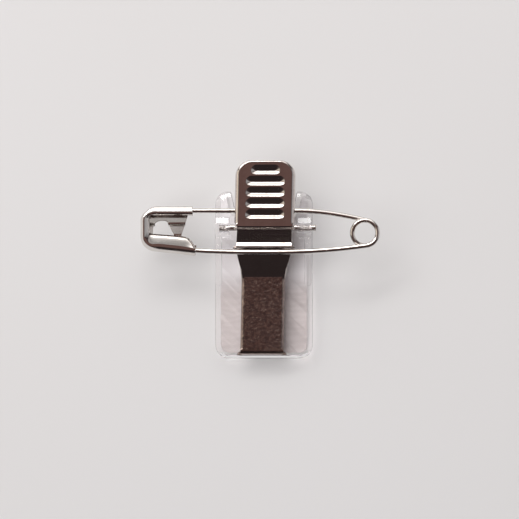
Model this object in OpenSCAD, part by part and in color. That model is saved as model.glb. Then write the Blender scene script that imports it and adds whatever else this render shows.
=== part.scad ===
// Adhesive badge clip: a clear plate with tape on its back, a sprung metal clip lever
// hinged on it, and a safety pin that hangs from the lever's ears.
// Millimetres. Origin: centre of the tape's outer face. +Y towards the thumb tab,
// +Z away from the badge.

/* [Plate] */
// Width of the clear plate
plate_w = 15.6; // [14:0.1:18]
// Length of the clear plate
plate_l = 26.7; // [25:0.1:30]
// Thickness of the clear plate
plate_t = 1.6; // [1.2:0.1:2]
// Corner radius at the tab end
plate_r_top = 2.6; // [1.5:0.1:3]
// Corner radius at the jaw end
plate_r_low = 2.2; // [1.5:0.1:3]
// Bevel round the plate's front edge
plate_bevel = 0.3; // [0.1:0.05:0.5]
// Bevel round the plate's back edge
plate_back_bevel = 0.55; // [0.3:0.05:0.6]
// Half width of the notch at the plate's edge
notch_half_edge = 5.25; // [5:0.05:5.5]
// Half width of the notch at its bottom
notch_half_low = 4.5; // [4:0.05:4.8]
// Depth of the notch from the plate's edge
notch_depth = 3.4; // [2.5:0.1:3.6]

/* [Tape] */
// Thickness of the double-sided tape
tape_t = 0.7; // [0.4:0.1:1]
// How far the tape's edge lies inside the plate's edge
tape_inset = 0.9; // [0.5:0.1:1.5]

/* [Hinge] */
// Distance of the hinge from the plate's centre, towards the tab
hinge_y = 7.5; // [7:0.1:8]
// Height of the hinge above the plate's front face
hinge_h = 2.3; // [2.2:0.05:2.5]
// Radius of the axle
axle_r = 0.52; // [0.45:0.01:0.6]
// Left end of the axle, sunk in the left ear
axle_x_left = -7.1; // [-7.3:0.1:-6.5]
// Right end of the axle, proud of the right ear
axle_x_right = 8.25; // [7.9:0.05:8.4]
// Radial clearance of the axle in the clear ears
ear_clearance = 0.03; // [0.01:0.01:0.08]
// Radial clearance of the axle in the lever's ears
lever_clearance = 0.05; // [0.02:0.01:0.1]
// Radius of the clear ears round the axle
ear_r = 1.7; // [1.4:0.05:1.75]
// Width of the left clear ear
ear_w_left = 2.3; // [2:0.1:2.6]
// Inner face of the right clear ear
ear_x_right = 5.25; // [5.1:0.05:5.4]
// Width of the right clear ear
ear_w_right = 2.3; // [2:0.1:2.4]
// Width of the side rail below each ear
rail_w = 1.1; // [0.8:0.1:1.4]
// Lower end of the side rails
rail_y_end = -1.2; // [-3:0.1:1]
// Height of the rails at the ears
rail_h_ear = 2.5; // [2:0.1:2.6]
// Height of the rails at their lower ends
rail_h_end = 0.8; // [0.5:0.1:1.2]

/* [Lever] */
// Sideways place of the lever's middle at the hinge
lever_x = 0.05; // [0:0.05:0.2]
// Sideways lean of the lever for each millimetre along it
lever_lean = 0.02; // [0:0.005:0.02]
// Sheet thickness of the lever
lever_t = 0.5; // [0.4:0.05:0.55]
// Height of the thumb tab above the plate's front face
tab_h = 5.2; // [5.2:0.05:5.4]
// Outer end of the thumb tab
tab_y_end = 18.1; // [17.5:0.05:19]
// Bend between thumb tab and neck
tab_y_bend = 7.9; // [7.7:0.05:8]
// Half width of the thumb tab
tab_half = 4.75; // [4.7:0.05:4.9]
// Corner radius of the thumb tab's end
tab_r = 2.5; // [1.5:0.1:2.6]
// Depth of the thumb tab's turned-down rim
tab_rim = 0.95; // [0.85:0.05:0.95]
// Half width of the neck
neck_half = 4.35; // [4.3:0.05:4.45]
// Half width of the jaw arm
arm_half = 3.45; // [3.4:0.05:4]
// Height of the jaw arm's top above the plate's front face
arm_h = 1.15; // [1.1:0.05:1.3]
// Depth of the jaw arm's turned-down sides
arm_rim = 0.95; // [0.8:0.05:1]
// Outer face of the jaw's turned-down tip
tip_y = -12.7; // [-13:0.05:-12]
// Gap between the jaw's tip and the plate
tip_gap = 0.08; // [0.05:0.01:0.15]

/* [Grooves] */
// Number of finger grooves across the thumb tab
groove_n = 5; // [3:1:5]
// Pitch of the grooves
groove_pitch = 1.77; // [1.6:0.01:1.78]
// Middle of the lowest groove
groove_y_first = 9.78; // [9.7:0.01:9.9]
// Length of the grooves
groove_l = 6.1; // [5:0.1:6.5]
// Length of the groove next to the tab's end
groove_l_end = 4.5; // [4:0.1:5]
// Width of a groove
groove_w = 1.35; // [1.2:0.05:1.35]
// Depth of a groove
groove_d = 0.33; // [0.3:0.01:0.36]

/* [Safety pin] */
// Radius of the pin's wire
wire_r = 0.39; // [0.36:0.01:0.4]
// Place of the fixed arm along the lever
spine_y = 10.18; // [10.1:0.01:10.3]
// Height of the fixed arm above the plate's front face
spine_h = 3.7; // [3.65:0.05:3.75]
// Middle of the coil, to the right
coil_x = 15.95; // [15:0.05:16.5]
// Middle of the coil, along the lever
coil_y = 6.65; // [6.5:0.05:6.8]
// Radius of the coil to the wire's middle
coil_r = 2; // [1.9:0.05:2.1]
// Rise of the coil for each turn
coil_pitch = 0.86; // [0.84:0.01:0.9]
// Radial clearance of the fixed arm in the lever's ears
spine_clearance = 0.06; // [0.04:0.01:0.1]

/* [Pin cap] */
// Sheet thickness of the cap
cap_t = 0.3; // [0.25:0.01:0.32]
// Height of the cap's hollow
cap_hollow = 1.2; // [1.15:0.05:1.25]
// Left end of the cap
cap_x_left = -19.56; // [-20:0.01:-19]
// Mouth of the cap's guard, where the needle goes in
cap_x_mouth = -10.9; // [-11.2:0.05:-10.7]
// Corner radius of the cap's left end
cap_r = 2.4; // [2:0.1:2.6]

/* [Hidden] */
$fn = 48;
eps = 0.01;

// Levels
plate_z = tape_t + plate_t;
axle_z = plate_z + hinge_h;
tab_z = plate_z + tab_h;
arm_z = plate_z + arm_h;
spine_z = plate_z + spine_h;
sunk = 0.2;
axle_lug_r = 1.5;
spine_lug_r = 1;
spring_r = 0.95;
spring_wire_r = 0.2;

// The wire leaves the fixed arm over the coil's top and ends one and a half turns on, at
// the coil's bottom. Angles are in degrees, from the coil's top and bottom.
spine_x_left = cap_x_left + 2.6;
bend_x = 5.7;
enter = 14;
leave = 8.5;
coil_sweep = 540 - enter - leave;

// The needle keeps the coil's last stretch, past a thin seam, and rises from its lowest
// place, in front of the lever, to the coil and to its point in the cap.
needle_arc = 50;
seam = 2;
needle_x_low = 0.2;
needle_y_low = 3.63;
needle_x_mouth = -10.8;
needle_rise = 0.25;
needle_lift = 0.6;
needle_tip_x = -18.2;
needle_tip_r = 0.04;
point_x = -14.6;

// Cap: its top edge, the slanted low edge, the crimped sleeve, the front sheet's hem and
// left band, the back sheet's slanted edge and its dome-shaped window
sleeve_clearance = 0.03;
cap_y_top = spine_y + wire_r + sleeve_clearance + cap_t;
cap_y_mouth = 3.02;
cap_slant = 6.25;
sleeve_y_low = spine_y - wire_r;
hem_y_left = 6.5;
hem_y_right = 6.15;
hem_x_right = -12.7;
mouth_y_top = 4.1;
band_x = cap_x_left + 1.4;
web_x_top = -11.6;
web_x_low = -12.9;
window_x = -16.15;
window_y = 7.1;
window_r = 1.32;

// Top line of the lever seen from the side: y, z and bend radius of each corner
ridge_z = spine_z - 0.14;
neck_y_top = 7.35;
neck_z_top = tab_z - 0.88;
neck_y_low = 5.18;
arm_y_bend = -0.4;
lever_line = [
    [tab_y_end + 1, tab_z, 0],
    [neck_y_top, tab_z, 0.55],
    [neck_y_top - 0.02, neck_z_top, 0.2],
    [6.3, ridge_z + 0.13, 1.5],
    [5.6, ridge_z - 0.21, 1.5],
    [neck_y_low, ridge_z - 0.36, 0.15],
    [4.42, ridge_z, 0.55],
    [4.05, ridge_z - 0.66, 0.2],
    [arm_y_bend, arm_z, 1.2],
    [tip_y, arm_z, 0.7],
    [tip_y, plate_z + tip_gap, 0]
];

// Half widths of the lever seen from above: y and half width, tab end first
lever_widths = [
    [tab_y_bend + 0.25, neck_half - 0.05],
    [4.2, neck_half + 0.08],
    [3, neck_half - 0.15],
    [1, arm_half + 0.18],
    [-0.8, arm_half],
    [tip_y - 1, arm_half]
];

// Points of an arc about a centre, from one angle to the other
function arc(c, r, a0, a1, n = 10) =
    [for (i = [0 : n]) c + r * [cos(a0 + (a1 - a0) * i / n), sin(a0 + (a1 - a0) * i / n)]];

function unit(v) = v / norm(v);

// Corner b between a and c, rounded with radius r
function round_corner(a, b, c, r, n = 6) =
    let (u = unit(a - b), v = unit(c - b), half = acos(u * v) / 2)
    let (start = b + u * r / tan(half), middle = b + unit(u + v) * r / sin(half))
    let (w = start - middle, turn = (u[0] * v[1] - u[1] * v[0] > 0 ? 1 : -1) * (180 - 2 * half))
    [for (i = [0 : n]) let (t = -turn * i / n)
        middle + [w[0] * cos(t) - w[1] * sin(t), w[0] * sin(t) + w[1] * cos(t)]];

// A line of [y, z, radius] rows with its corners rounded
function rounded_line(rows) =
    let (p = [for (row = rows) [row[0], row[1]]], last = len(rows) - 1)
    concat([p[0]],
           [for (i = [1 : last - 1]) each round_corner(p[i - 1], p[i], p[i + 1], rows[i][2])],
           [p[last]]);

// The same line moved down by d across its own direction
function lowered_line(p, d) =
    let (last = len(p) - 1)
    let (n = [for (i = [0 : last - 1]) let (s = unit(p[i + 1] - p[i])) [-s[1], s[0]]])
    [for (i = [0 : last])
        let (a = n[max(i - 1, 0)], b = n[min(i, last - 1)])
        p[i] + d * (a + b) / (1 + a * b)];

// Rounded rectangle of the plate, drawn in by d
function plate_outline(d) =
    let (x = plate_w / 2 - d, y = plate_l / 2 - d, rt = plate_r_top - d, rl = plate_r_low - d)
    concat(arc([x - rt, y - rt], rt, 0, 90), arc([rt - x, y - rt], rt, 90, 180),
           arc([rl - x, rl - y], rl, 180, 270), arc([x - rl, rl - y], rl, 270, 360));

// Side outline of the pin's cap from its mouth round the left end, drawn in by d
function cap_outline(d) =
    let (x = cap_x_left + cap_r, y_top = cap_y_top - cap_r)
    let (y_low = cap_y_mouth + (cap_x_mouth - x) * tan(cap_slant) + cap_r / cos(cap_slant))
    concat([[cap_x_mouth, cap_y_mouth + d / cos(cap_slant)]],
           arc([x, y_low], cap_r - d, 270 - cap_slant, 180),
           arc([x, y_top], cap_r - d, 180, 90),
           [[cap_x_mouth, cap_y_top - d]]);

// Round wire along a path, with one radius for each path point
module wire(path, radii, up, sides = 12) {
    last = len(path) - 1;
    tangents = [for (i = [0 : last]) unit(path[min(i + 1, last)] - path[max(i - 1, 0)])];
    rings = [for (i = [0 : last])
        let (side = unit(cross(up, tangents[i])), over = cross(tangents[i], side))
        for (k = [0 : sides - 1])
            path[i] + radii[i] * (side * cos(360 * k / sides) + over * sin(360 * k / sides))];
    walls = [for (i = [0 : last - 1]) for (k = [0 : sides - 1])
        let (a = i * sides + k, b = i * sides + (k + 1) % sides)
        each [[a, b, b + sides], [a, b + sides, a + sides]]];
    start_cap = [for (k = [0 : sides - 1]) sides - 1 - k];
    end_cap = [for (k = [0 : sides - 1]) last * sides + k];
    faces = concat(walls, [start_cap, end_cap]);
    polyhedron(rings, [for (f = faces) [for (v = [len(f) - 1 : -1 : 0]) f[v]]]);
}

// A flat shape given in y and z, carried along x from x0 over a width
module across(x0, width) {
    translate([x0, 0, 0]) rotate([90, 0, 90]) linear_extrude(width) children();
}

module round_bar(x0, x1, y, z, r) {
    translate([x0, y, z]) rotate([0, 90, 0]) cylinder(r = r, h = x1 - x0);
}

module notch(d) {
    y_low = plate_l / 2 - notch_depth - d;
    polygon([[-notch_half_low - d, y_low], [notch_half_low + d, y_low],
             [notch_half_edge + d, plate_l / 2 + 1], [-notch_half_edge - d, plate_l / 2 + 1]]);
}

// Clear ear with its side rail: x0 and width of the ear, and the rail's own x0
module clear_ear(x0, width, rail_x0) {
    across(x0, width) {
        translate([hinge_y, axle_z]) circle(ear_r);
        translate([hinge_y - ear_r, plate_z - eps]) square([2 * ear_r, hinge_h + eps]);
    }
    across(rail_x0, rail_w)
        polygon([[hinge_y, plate_z - eps], [hinge_y, plate_z + rail_h_ear],
                 [rail_y_end, plate_z + rail_h_end], [rail_y_end, plate_z - eps]]);
    translate([rail_x0 + rail_w / 2, rail_y_end, plate_z - eps])
        cylinder(r = rail_w / 2, h = rail_h_end + eps);
}

module base_plate() {
    color([0.9, 0.89, 0.9, 0.4])
    difference() {
        union() {
            hull() {
                translate([0, 0, tape_t + plate_back_bevel])
                    linear_extrude(plate_t - plate_bevel - plate_back_bevel) polygon(plate_outline(0));
                translate([0, 0, plate_z - plate_bevel])
                    linear_extrude(plate_bevel) polygon(plate_outline(plate_bevel));
                translate([0, 0, tape_t]) linear_extrude(plate_back_bevel) polygon(plate_outline(plate_back_bevel));
            }
            clear_ear(-plate_w / 2, ear_w_left, -plate_w / 2);
            clear_ear(ear_x_right, ear_w_right, ear_x_right + ear_w_right - rail_w);
        }
        translate([0, 0, -eps]) linear_extrude(plate_z + 1) notch(0);
        round_bar(axle_x_left - ear_clearance, axle_x_right, hinge_y, axle_z, axle_r + ear_clearance);
    }
}

module adhesive_pad() {
    color([0.86, 0.83, 0.82, 0.7])
    linear_extrude(tape_t) difference() {
        polygon(plate_outline(tape_inset));
        notch(tape_inset);
    }
}

module hinge_axle() {
    color("silver")
    round_bar(axle_x_left, axle_x_right, hinge_y, axle_z, axle_r);
}

// Spring wound on the axle: its low leg presses on the plate, its high leg under the tab
module torsion_spring() {
    low_angle = 240;
    high_angle = 128;
    turns = 4;
    sweep = low_angle - high_angle + 360 * turns;
    steps = 16 * turns;
    length = 2.2;
    gap = 0.05;
    x_low = lever_x - length / 2;
    low_z = plate_z + spring_wire_r + gap;
    low_leg = (low_z - axle_z - spring_r * sin(low_angle)) / cos(low_angle);
    high_z = tab_z - lever_t - spring_wire_r - gap;
    high_leg = (high_z - axle_z - spring_r * sin(high_angle)) / -cos(high_angle);
    coil = [for (i = [0 : steps]) let (a = low_angle - sweep * i / steps)
        [x_low + length * i / steps, hinge_y + spring_r * cos(a), axle_z + spring_r * sin(a)]];
    low_end = coil[0] + low_leg * [0, -sin(low_angle), cos(low_angle)];
    high_end = coil[steps] + high_leg * [0, sin(high_angle), -cos(high_angle)];
    path = concat([low_end], coil, [high_end]);
    color("gray")
    wire(path, [for (p = path) spring_wire_r], [1, 0, 0], 8);
}

// The lever's bent sheet, wider than the lever
module lever_sheet() {
    top = rounded_line(lever_line);
    low = lowered_line(top, lever_t);
    across(lever_x - 6, 12) polygon(concat(top, [for (i = [len(low) - 1 : -1 : 0]) low[i]]));
}

// Points given from the lever's middle line, which leans a little to one side
function leaning(points) = [for (p = points) [p[0] + lever_x + lever_lean * (p[1] - hinge_y), p[1]]];

// Plan of the thumb tab, drawn in by d
module tab_plan(d) {
    x = tab_half - d;
    r = tab_r - d;
    y = tab_y_end - d - r;
    polygon(leaning(concat([[-x, tab_y_bend], [x, tab_y_bend]],
                           arc([x - r, y], r, 0, 90), arc([r - x, y], r, 90, 180))));
}

// Plan of the neck and jaw arm, drawn in by d
module arm_plan(d) {
    last = len(lever_widths) - 1;
    polygon(leaning(concat([for (row = lever_widths) [row[1] - d, row[0]]],
                           [for (i = [last : -1 : 0]) [d - lever_widths[i][1], lever_widths[i][0]]])));
}

// Turned-down rim of the thumb tab, run a little way into the sheet above it
module tab_rim() {
    translate([0, 0, tab_z - tab_rim]) linear_extrude(tab_rim - sunk) difference() {
        tab_plan(0);
        tab_plan(lever_t);
    }
}

// Turned-down sides of the jaw arm, which run out up the slope below the neck
module arm_rims() {
    rim_y_top = 2;
    slope = (lever_line[7][1] - arm_z) / (lever_line[7][0] - arm_y_bend);
    z_top = arm_z + slope * (rim_y_top - arm_y_bend);
    intersection() {
        across(lever_x - 6, 12)
            polygon([[rim_y_top, z_top - sunk], [arm_y_bend, arm_z - sunk], [tip_y + lever_t, arm_z - sunk],
                     [tip_y + lever_t, arm_z - arm_rim], [arm_y_bend, arm_z - arm_rim],
                     [rim_y_top, z_top - lever_t]]);
        linear_extrude(tab_z) difference() {
            arm_plan(0);
            arm_plan(lever_t);
        }
    }
}

module lever_ears() {
    for (x0 = [lever_x - neck_half, lever_x + neck_half - lever_t])
        across(x0, lever_t) {
            translate([hinge_y, axle_z]) circle(axle_lug_r);
            translate([spine_y, spine_z]) circle(spine_lug_r);
            polygon([[neck_y_low + 0.2, ridge_z - 0.58], [neck_y_top + 0.1, neck_z_top - 0.3],
                     [neck_y_top + 0.4, tab_z - 0.3], [spine_y + spine_lug_r, tab_z - sunk],
                     [spine_y + spine_lug_r, spine_z],
                     [spine_y + spine_lug_r / 2, spine_z - spine_lug_r * sin(60)],
                     [hinge_y, axle_z - axle_lug_r], [hinge_y - axle_lug_r, axle_z]]);
        }
}

// One finger groove: a hollow with round ends, cut by a lying cylinder
module groove(y, length) {
    r = (groove_w * groove_w / 4 + groove_d * groove_d) / (2 * groove_d);
    end_r = groove_w / 2;
    end = length / 2 - end_r;
    intersection() {
        round_bar(lever_x - length, lever_x + length, y, tab_z + r - groove_d, r);
        translate([lever_x + lever_lean * (y - hinge_y), y, tab_z - lever_t]) linear_extrude(2 * lever_t)
            polygon(concat(arc([end, 0], end_r, -90, 90, 8), arc([-end, 0], end_r, 90, 270, 8)));
    }
}

module clip_lever() {
    color([0.42, 0.32, 0.29])
    difference() {
        union() {
            intersection() {
                lever_sheet();
                linear_extrude(tab_z + 1) union() {
                    tab_plan(0);
                    arm_plan(0);
                }
            }
            tab_rim();
            arm_rims();
            lever_ears();
        }
        for (i = [0 : groove_n - 1])
            groove(groove_y_first + groove_pitch * i, i == groove_n - 1 ? groove_l_end : groove_l);
        round_bar(lever_x - 6, lever_x + 6, hinge_y, axle_z, axle_r + lever_clearance);
        round_bar(lever_x - 6, lever_x + 6, spine_y, spine_z, wire_r + spine_clearance);
    }
}

// Point of the coil after so many degrees from the fixed arm
function coil_point(a) =
    [coil_x + coil_r * sin(enter + a), coil_y + coil_r * cos(enter + a), spine_z + coil_pitch * a / 360];

coil_start = coil_point(0);
coil_end = coil_point(coil_sweep);

// Fixed arm right of its straight stretch, bending down to the coil
function spine_point(t) =
    let (power = tan(enter) * (coil_start[0] - bend_x) / (spine_y - coil_start[1]))
    [bend_x + (coil_start[0] - bend_x) * t, spine_y + (coil_start[1] - spine_y) * pow(t, power), spine_z];

// Needle from its lowest place to the coil
function needle_right(t) =
    let (power = tan(leave) * (coil_end[0] - needle_x_low) / (coil_end[1] - needle_y_low))
    [needle_x_low + (coil_end[0] - needle_x_low) * t,
     needle_y_low + (coil_end[1] - needle_y_low) * pow(t, power),
     spine_z + needle_lift + (coil_end[2] - spine_z - needle_lift) * t];

// Needle from its lowest place to its tip in the cap
function needle_left(t) =
    let (x = needle_x_low + (needle_tip_x - needle_x_low) * t)
    [x, needle_y_low + needle_rise * pow((needle_x_low - x) / (needle_x_low - needle_x_mouth), 2.6),
     spine_z + needle_lift * pow(1 - t, 1.8)];

module pin_spine() {
    arm_steps = 10;
    coil_steps = 30;
    spine_sweep = coil_sweep - needle_arc - seam - 1;
    path = concat(
        [[spine_x_left, spine_y, spine_z]],
        [for (i = [0 : arm_steps - 1]) spine_point(i / arm_steps)],
        [for (i = [0 : coil_steps]) coil_point(spine_sweep * i / coil_steps)],
        [coil_point(spine_sweep + 1)]);
    color("silver")
    wire(path, [for (p = path) wire_r], [0, 0, 1]);
}

module pin_needle() {
    arm_steps = 10;
    path = concat(
        [coil_point(coil_sweep - needle_arc - 1)],
        [for (i = [0 : 4]) coil_point(coil_sweep - needle_arc * (1 - i / 4))],
        [for (i = [arm_steps - 1 : -1 : 1]) needle_right(i / arm_steps)],
        [for (i = [0 : 2 * arm_steps]) needle_left(i / (2 * arm_steps))]);
    radii = [for (p = path) p[0] > point_x ? wire_r
        : needle_tip_r + (wire_r - needle_tip_r) * (p[0] - needle_tip_x) / (point_x - needle_tip_x)];
    color("silver")
    wire(path, radii, [0, 0, 1]);
}

// Plan of the cap's back sheet: open beside its web and at its dome-shaped window
module cap_back_plan() {
    difference() {
        polygon(cap_outline(0));
        polygon([[web_x_top, sleeve_y_low], [web_x_low, hem_y_right], [hem_x_right, hem_y_right - 0.3],
                 [cap_x_mouth, mouth_y_top], [cap_x_mouth + 1, mouth_y_top],
                 [cap_x_mouth + 1, sleeve_y_low]]);
        translate([window_x, window_y]) circle(window_r);
        translate([window_x - window_r * 0.8, hem_y_right - 0.2]) square([window_r * 1.6, 0.9]);
    }
}

// Plan of the cap's front sheet: guard and left band, open above the guard's hem
module cap_front_plan() {
    hem_r = cap_x_mouth - hem_x_right;
    corner_r = 0.8;
    difference() {
        polygon(cap_outline(0));
        polygon(concat([[band_x, sleeve_y_low]],
                       arc([band_x + corner_r, hem_y_left + corner_r], corner_r, 180, 268, 5),
                       arc([hem_x_right, hem_y_right - hem_r], hem_r, 86, 0, 8),
                       [[cap_x_mouth, mouth_y_top], [cap_x_mouth + 1, mouth_y_top],
                        [cap_x_mouth + 1, sleeve_y_low]]));
    }
}

// Wall that folds round the cap's left end and low edge
module cap_fold() {
    difference() {
        polygon(cap_outline(0));
        polygon(cap_outline(cap_t));
        translate([band_x, sleeve_y_low]) square([cap_x_mouth - band_x + 1, 2]);
    }
}

module pin_cap() {
    z_low = spine_z - cap_hollow / 2 - cap_t;
    color("silver")
    difference() {
        union() {
            translate([0, 0, z_low]) linear_extrude(cap_t) cap_back_plan();
            translate([0, 0, z_low + cap_hollow + cap_t]) linear_extrude(cap_t) cap_front_plan();
            translate([0, 0, z_low]) linear_extrude(cap_hollow + 2 * cap_t) cap_fold();
            round_bar(spine_x_left - 0.2, cap_x_mouth - 0.4, spine_y, spine_z, cap_y_top - spine_y);
        }
        round_bar(spine_x_left - 0.05, cap_x_mouth + 1, spine_y, spine_z, wire_r + sleeve_clearance);
    }
}

base_plate();
adhesive_pad();
hinge_axle();
torsion_spring();
clip_lever();
pin_spine();
pin_cap();
pin_needle();
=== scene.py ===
import math

import bmesh
import bpy
import numpy as np
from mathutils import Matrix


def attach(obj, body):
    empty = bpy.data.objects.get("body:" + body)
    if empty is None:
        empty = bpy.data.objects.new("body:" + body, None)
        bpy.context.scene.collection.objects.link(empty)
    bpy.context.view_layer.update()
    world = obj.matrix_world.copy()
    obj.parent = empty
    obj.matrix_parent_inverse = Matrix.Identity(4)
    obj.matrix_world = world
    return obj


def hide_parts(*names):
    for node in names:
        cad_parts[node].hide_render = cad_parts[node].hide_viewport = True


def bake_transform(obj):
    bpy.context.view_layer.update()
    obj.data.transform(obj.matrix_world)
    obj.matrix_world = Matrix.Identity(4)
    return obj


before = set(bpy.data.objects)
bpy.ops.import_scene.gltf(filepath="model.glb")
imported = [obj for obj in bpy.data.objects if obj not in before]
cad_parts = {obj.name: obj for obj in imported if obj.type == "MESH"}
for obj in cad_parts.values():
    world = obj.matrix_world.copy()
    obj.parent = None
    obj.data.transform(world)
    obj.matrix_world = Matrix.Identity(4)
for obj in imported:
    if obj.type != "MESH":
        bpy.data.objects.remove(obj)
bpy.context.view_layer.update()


# Table, window and camera
# The clip lies on a pale table and is seen from straight above. A wide low window stands beyond the thumb
# tab, a little to the left, before a bright wall, and the ceiling is brown. A soft light fills the shadows,
# and a faint painted glow in the table itself, which is no lamp, lightens them further.
MM = 0.001
TABLE_HALF = 1.5
VIEW_MIDDLE = (-0.72 * MM, 2.46 * MM)
VIEW_WIDTH = 82.5 * MM
VIEW_DISTANCE = 0.5
VIEW_LEVEL = 0.004


def node(tree, kind, inputs=(), **settings):
    """One shader node in a tree: settings are its own properties, and inputs are numbers or links."""
    made = tree.nodes.new("ShaderNode" + kind)
    for key, value in settings.items():
        setattr(made, key, value)
    for key, value in dict(inputs).items():
        if isinstance(value, bpy.types.NodeSocket):
            tree.links.new(value, made.inputs[key])
        else:
            made.inputs[key].default_value = value
    return made


def finish_material(name):
    """A new node material, its tree and its Principled shader."""
    made = bpy.data.materials.new(name)
    made.use_nodes = True
    return made, made.node_tree, made.node_tree.nodes["Principled BSDF"]


def mesh_object(name, points, faces, material):
    """A shown object whose mesh has these points and faces, in metres, smooth all over."""
    mesh = bpy.data.meshes.new(name)
    mesh.from_pydata(np.asarray(points, float).tolist(), [], [tuple(f) for f in faces])
    mesh.shade_smooth()
    mesh.materials.append(material)
    made = bpy.data.objects.new(name, mesh)
    bpy.context.scene.collection.objects.link(made)
    return made


def card(name, middle, toward, width, height, material):
    """A flat rectangle that stands at a middle point and faces toward another."""
    out = np.subtract(toward, middle)
    out = out / np.linalg.norm(out)
    side = np.cross((0, 0, 1), out) if abs(out[2]) < 0.999 else np.array((1.0, 0, 0))
    side = side / np.linalg.norm(side)
    up = np.cross(out, side)
    corners = [np.add(middle, a * width / 2 * side + b * height / 2 * up)
               for a, b in ((-1, -1), (1, -1), (1, 1), (-1, 1))]
    made = mesh_object(name, corners, [(0, 1, 2, 3)], material)
    return made


def glow(name, colour, strength, fade=None):
    """A card's finish: plain light of one colour from its front. A fade is a low and a high level, between
    which the light falls to a tenth."""
    made, tree = finish_material(name)[:2]
    light = node(tree, "Emission", {"Color": (*colour, 1), "Strength": strength})
    if fade:
        where = node(tree, "SeparateXYZ", {0: node(tree, "TexCoord").outputs["Object"]})
        level = node(tree, "MapRange", {"Value": where.outputs["Z"], "From Min": fade[0], "From Max": fade[1],
                                        "To Min": strength, "To Max": strength / 10})
        tree.links.new(level.outputs["Result"], light.inputs["Strength"])
    back = node(tree, "BsdfTransparent")
    side = node(tree, "NewGeometry")
    mix = node(tree, "MixShader", {0: side.outputs["Backfacing"], 1: light.outputs[0], 2: back.outputs[0]})
    tree.links.new(mix.outputs[0], tree.nodes["Material Output"].inputs["Surface"])
    return made


table_paint, tree, shader = finish_material("table")
where = node(tree, "TexCoord")
cloudy = node(tree, "TexNoise", {"Vector": where.outputs["Object"], "Scale": 9.0, "Detail": 2.0})
tones = node(tree, "ValToRGB", {"Fac": cloudy.outputs["Fac"]})
tones.color_ramp.elements[0].position, tones.color_ramp.elements[1].position = 0.3, 0.7
tones.color_ramp.elements[0].color = (0.497, 0.487, 0.485, 1)
tones.color_ramp.elements[1].color = (0.508, 0.5, 0.502, 1)
tree.links.new(tones.outputs["Color"], shader.inputs["Base Color"])
shader.inputs["Roughness"].default_value = 0.75
shader.inputs["Specular IOR Level"].default_value = 0.2
# Painted light: the table glows faintly in its own colour, which lightens the shadows on it.
shader.inputs["Emission Color"].default_value = (1.0, 0.985, 0.985, 1)
shader.inputs["Emission Strength"].default_value = 0.22
table = mesh_object("table", [(-TABLE_HALF, -TABLE_HALF, 0), (TABLE_HALF, -TABLE_HALF, 0),
                              (TABLE_HALF, TABLE_HALF, 0), (-TABLE_HALF, TABLE_HALF, 0)],
                    [(0, 1, 2, 3)], table_paint)

# The room is a set of glowing cards, hidden from the camera and without shadows. Each faces a point at the
# level of its aim, straight above or on the table's middle.
for card_name, middle, aim, width, height, colour, strength, fade in (
        ("ceiling", (0, -0.04, 0.8), 0, 0.6, 0.62, (1.0, 0.6, 0.54), 0.155, None),
        ("bright_wall", (-0.15, 0.62, 0.5), 0, 1.3, 0.9, (1.0, 0.97, 0.95), 1.6, (0.62, 0.86)),
        ("soffit", (-0.1, 0.44, 0.84), 0, 1.2, 0.3, (1.0, 0.95, 0.94), 0.5, None),
        ("left_wall", (-0.75, 0.05, 0.5), 0, 0.55, 0.95, (1.0, 0.9, 0.78), 1.1, (0.35, 1.1)),
        ("right_wall", (0.75, 0.1, 0.5), 0, 0.6, 0.95, (0.97, 0.95, 0.97), 0.6, (0.35, 1.1)),
        ("dark_corner", (0, -0.06, 0.06), 0.06, 0.5, 0.13, (1.0, 0.75, 0.75), 0.03, None)):
    shown = card(card_name, middle, (0, 0, aim), width, height, glow(card_name, colour, strength, fade))
    shown.visible_camera = False
    shown.visible_shadow = False

for light_name, place, size, energy, colour, mirrored in (
        ("window", (-0.209, 0.462, 0.44), (0.55, 0.11), 1.8, (1.0, 0.99, 0.985), True),
        ("room_light", (-0.6, 0.0, 1.2), (1.5, 1.5), 11.6, (0.97, 0.98, 1.0), False)):
    light = bpy.data.lights.new(light_name, "AREA")
    light.shape, light.size, light.size_y = "RECTANGLE", *size
    light.energy, light.color = energy, colour
    stand = bpy.data.objects.new(light_name, light)
    bpy.context.scene.collection.objects.link(stand)
    stand.location = place
    stand.rotation_euler = (-stand.location).to_track_quat("-Z", "Y").to_euler()
    stand.visible_camera = False
    stand.visible_glossy = mirrored

# Past the cards, mirrors see a dark brown room, and past the table's edge the camera sees a pale one.
world = bpy.data.worlds.new("room")
bpy.context.scene.world = world
world.use_nodes = True
tree = world.node_tree
tree.nodes.clear()
pale = node(tree, "Background", {"Color": (0.72, 0.71, 0.7, 1), "Strength": 1.0})
dark = node(tree, "Background", {"Color": (0.052, 0.036, 0.036, 1), "Strength": 1.0})
ray = node(tree, "LightPath")
both = node(tree, "MixShader", {0: ray.outputs["Is Camera Ray"], 1: dark.outputs[0], 2: pale.outputs[0]})
tree.links.new(both.outputs[0], node(tree, "OutputWorld").inputs["Surface"])

lens = bpy.data.cameras.new("camera")
lens.sensor_width = 36
lens.lens = 36 * VIEW_DISTANCE / VIEW_WIDTH
camera = bpy.data.objects.new("camera", lens)
camera.location = (*VIEW_MIDDLE, VIEW_LEVEL + VIEW_DISTANCE)
bpy.context.scene.collection.objects.link(camera)
bpy.context.scene.camera = camera
bpy.context.scene.view_settings.view_transform = "Standard"


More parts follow.
